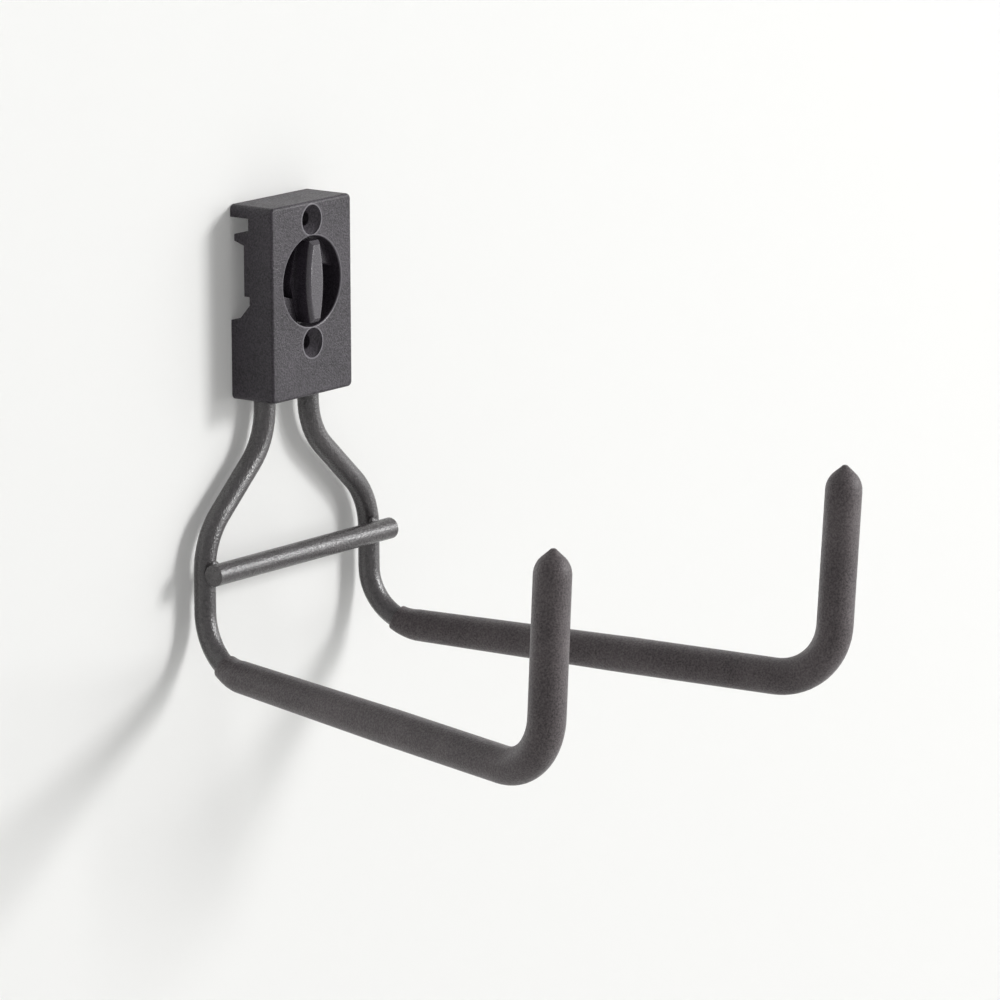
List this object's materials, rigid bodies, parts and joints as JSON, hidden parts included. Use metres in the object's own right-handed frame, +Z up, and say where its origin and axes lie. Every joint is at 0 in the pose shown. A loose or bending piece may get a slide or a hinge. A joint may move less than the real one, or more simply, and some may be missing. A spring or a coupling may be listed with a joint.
{
  "type": "utility hook",
  "caption": "Wall utility hook: a moulded block with a quarter-turn lock holds splayed wire arms, braced by a cross bar, with soft sleeves and upturned tips for hanging garage gear.",
  "frame": {"origin": "on the wall plane at the back of the block, on the lock's axis, midway between the two screw holes", "axes": "+X to the right along the wall seen from the front, +Y into the wall, +Z up"},
  "size_m": [0.1904, 0.2006, 0.1795],
  "materials": {
    "block_plastic": "fine spark-eroded texture",
    "knob_plastic": "smooth satin moulding",
    "wire_coat": "graphite powder coat on steel wire",
    "sleeve_foam": "matt charcoal soft coat"
  },
  "bodies": {
    "hook": {"mounting_block": "block_plastic", "hook_wire_left": "wire_coat", "hook_wire_right": "wire_coat", "cross_bar": "wire_coat", "grip_sleeve_left": "sleeve_foam", "grip_sleeve_right": "sleeve_foam"},
    "knob": {"lock_knob": "knob_plastic"}
  },
  "joints": [
    {"name": "lock_turn", "type": "hinge", "parent": "hook", "child": "knob", "pos_m": [0, 0, 0], "axis": [0, -1, 0], "range_deg": [0, 90]}
  ]
}
